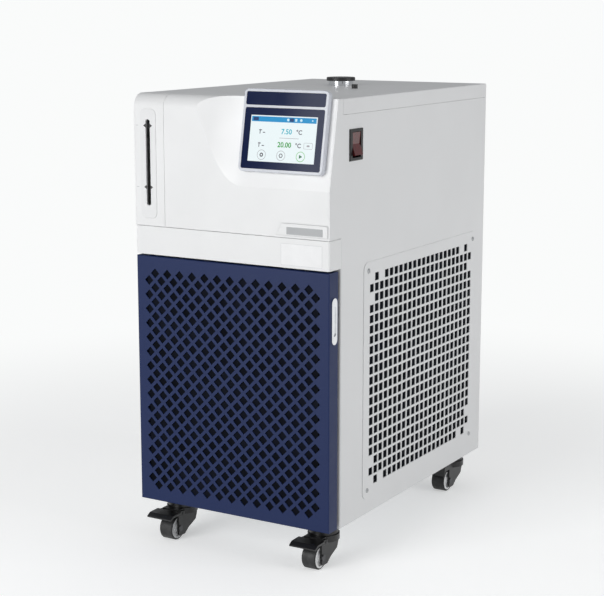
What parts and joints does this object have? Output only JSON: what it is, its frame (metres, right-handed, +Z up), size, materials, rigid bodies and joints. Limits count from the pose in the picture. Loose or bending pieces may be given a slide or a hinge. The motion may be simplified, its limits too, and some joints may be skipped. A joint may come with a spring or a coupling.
{
  "type": "recirculating chiller",
  "caption": "Floor-standing recirculating chiller on swivel casters: sheet cabinet, hinged perforated door, tilted display, level gauge, side vent grille and top filler.",
  "frame": {"origin": "on the floor under the middle of the whole bounding box", "axes": "+Z up, -Y towards the front with the door and the display, +X towards the side with the vent grille"},
  "size_m": [0.3664, 0.605, 0.758],
  "materials": {
    "white_sheet": "satin powder coat",
    "galvanised_sheet": "dull galvanised",
    "white_moulding": "semi-gloss moulded",
    "gauge_grey": "smooth",
    "clear_tube": "clear",
    "fitting_black": "moulded",
    "display_silver": "silver satin",
    "display_navy": "smooth gloss",
    "screen": "lit screen behind clear glass",
    "door_blue": "textured powder coat",
    "filter_mesh": "fine mesh",
    "bright_metal": "polished",
    "plain_steel": "plain",
    "switch_black": "moulded",
    "rocker_red": "translucent",
    "cap_black": "moulded",
    "coil_aluminium": "fins",
    "fan_black": "moulded",
    "motor_grey": "painted",
    "compressor_black": "gloss paint",
    "tank_steel": "stainless",
    "pump_iron": "painted",
    "copper": "bare copper",
    "hose_black": "smooth hose",
    "port_brass": "machined",
    "caster_black": "moulded nylon",
    "hub_grey": "moulded",
    "tyre_black": "smooth tread"
  },
  "bodies": {
    "cabinet": {"base_pan": "galvanised_sheet", "left_side_panel": "white_sheet", "right_side_panel": "white_sheet", "rear_panel": "white_sheet", "top_cover": "white_sheet", "mid_shelf": "galvanised_sheet", "front_moulding": "white_moulding", "gauge_strip": "white_moulding", "gauge_plate": "gauge_grey", "sight_tube": "clear_tube", "sight_tube_fittings": "fitting_black", "front_band": "white_moulding", "display_housing": "display_silver", "display_header": "display_navy", "display_bezel": "display_navy", "display_screen": "screen", "door_hinges": "plain_steel", "vent_grille": "white_sheet", "vent_screws": "plain_steel", "switch_bezel": "switch_black", "filler_neck": "bright_metal", "vent_plug": "cap_black", "condenser_coil": "coil_aluminium", "fan_shroud": "galvanised_sheet", "fan_motor": "motor_grey", "compressor": "compressor_black", "reservoir_tank": "tank_steel", "circulation_pump": "pump_iron", "coolant_pipes": "hose_black", "refrigerant_pipes": "copper", "control_box": "motor_grey", "outlet_port": "port_brass", "inlet_port": "port_brass", "drain_port": "port_brass", "power_inlet": "switch_black", "caster_mounts": "caster_black"},
    "door": {"door_skin": "door_blue", "door_filter": "filter_mesh", "door_pull": "bright_metal"},
    "rocker": {"switch_rocker": "rocker_red"},
    "cap": {"filler_cap": "cap_black"},
    "fan": {"fan_rotor": "fan_black"},
    "front_left_caster": {"front_left_fork": "caster_black", "front_left_axle": "plain_steel"},
    "front_left_wheel": {"front_left_hub": "hub_grey", "front_left_tyre": "tyre_black"},
    "front_left_pedal": {"front_left_pedal": "caster_black"},
    "front_right_caster": {"front_right_fork": "caster_black", "front_right_axle": "plain_steel"},
    "front_right_wheel": {"front_right_hub": "hub_grey", "front_right_tyre": "tyre_black"},
    "front_right_pedal": {"front_right_pedal": "caster_black"},
    "rear_left_caster": {"rear_left_fork": "caster_black", "rear_left_axle": "plain_steel"},
    "rear_left_wheel": {"rear_left_hub": "hub_grey", "rear_left_tyre": "tyre_black"},
    "rear_right_caster": {"rear_right_fork": "caster_black", "rear_right_axle": "plain_steel"},
    "rear_right_wheel": {"rear_right_hub": "hub_grey", "rear_right_tyre": "tyre_black"}
  },
  "joints": [
    {"name": "door_hinge", "type": "hinge", "parent": "cabinet", "child": "door", "pos_m": [-0.17716, -0.2715, 0.27775], "axis": [0, 0, -1], "range_deg": [0, 100]},
    {"name": "switch_pivot", "type": "hinge", "parent": "cabinet", "child": "rocker", "pos_m": [0.16884, -0.2124, 0.6725], "axis": [0, 1, 0], "range_deg": [0, 16]},
    {"name": "cap_lift", "type": "slide", "parent": "cabinet", "child": "cap", "axis": [0, 0, 1], "range_m": [0, 0.04]},
    {"name": "fan_spin", "type": "hinge", "parent": "cabinet", "child": "fan", "pos_m": [-0.00316, -0.1705, 0.262], "axis": [0, 1, 0], "continuous": true},
    {"name": "front_left_swivel", "type": "hinge", "parent": "cabinet", "child": "front_left_caster", "pos_m": [-0.14116, -0.2345, 0.048], "axis": [0, 0, 1], "continuous": true},
    {"name": "front_left_roll", "type": "hinge", "parent": "front_left_caster", "child": "front_left_wheel", "pos_m": [-0.14116, -0.2645, 0.02], "axis": [1, 0, 0], "continuous": true},
    {"name": "front_left_brake", "type": "hinge", "parent": "front_left_caster", "child": "front_left_pedal", "pos_m": [-0.14116, -0.26, 0.045], "axis": [1, 0, 0], "range_deg": [0, 10]},
    {"name": "front_right_swivel", "type": "hinge", "parent": "cabinet", "child": "front_right_caster", "pos_m": [0.13484, -0.2345, 0.048], "axis": [0, 0, 1], "continuous": true},
    {"name": "front_right_roll", "type": "hinge", "parent": "front_right_caster", "child": "front_right_wheel", "pos_m": [0.13484, -0.2645, 0.02], "axis": [1, 0, 0], "continuous": true},
    {"name": "front_right_brake", "type": "hinge", "parent": "front_right_caster", "child": "front_right_pedal", "pos_m": [0.13484, -0.26, 0.045], "axis": [1, 0, 0], "range_deg": [0, 10]},
    {"name": "rear_left_swivel", "type": "hinge", "parent": "cabinet", "child": "rear_left_caster", "pos_m": [-0.14116, 0.2355, 0.048], "axis": [0, 0, 1], "continuous": true},
    {"name": "rear_left_roll", "type": "hinge", "parent": "rear_left_caster", "child": "rear_left_wheel", "pos_m": [-0.14116, 0.2055, 0.02], "axis": [1, 0, 0], "continuous": true},
    {"name": "rear_right_swivel", "type": "hinge", "parent": "cabinet", "child": "rear_right_caster", "pos_m": [0.13484, 0.2355, 0.048], "axis": [0, 0, 1], "continuous": true},
    {"name": "rear_right_roll", "type": "hinge", "parent": "rear_right_caster", "child": "rear_right_wheel", "pos_m": [0.13484, 0.2055, 0.02], "axis": [1, 0, 0], "continuous": true}
  ]
}
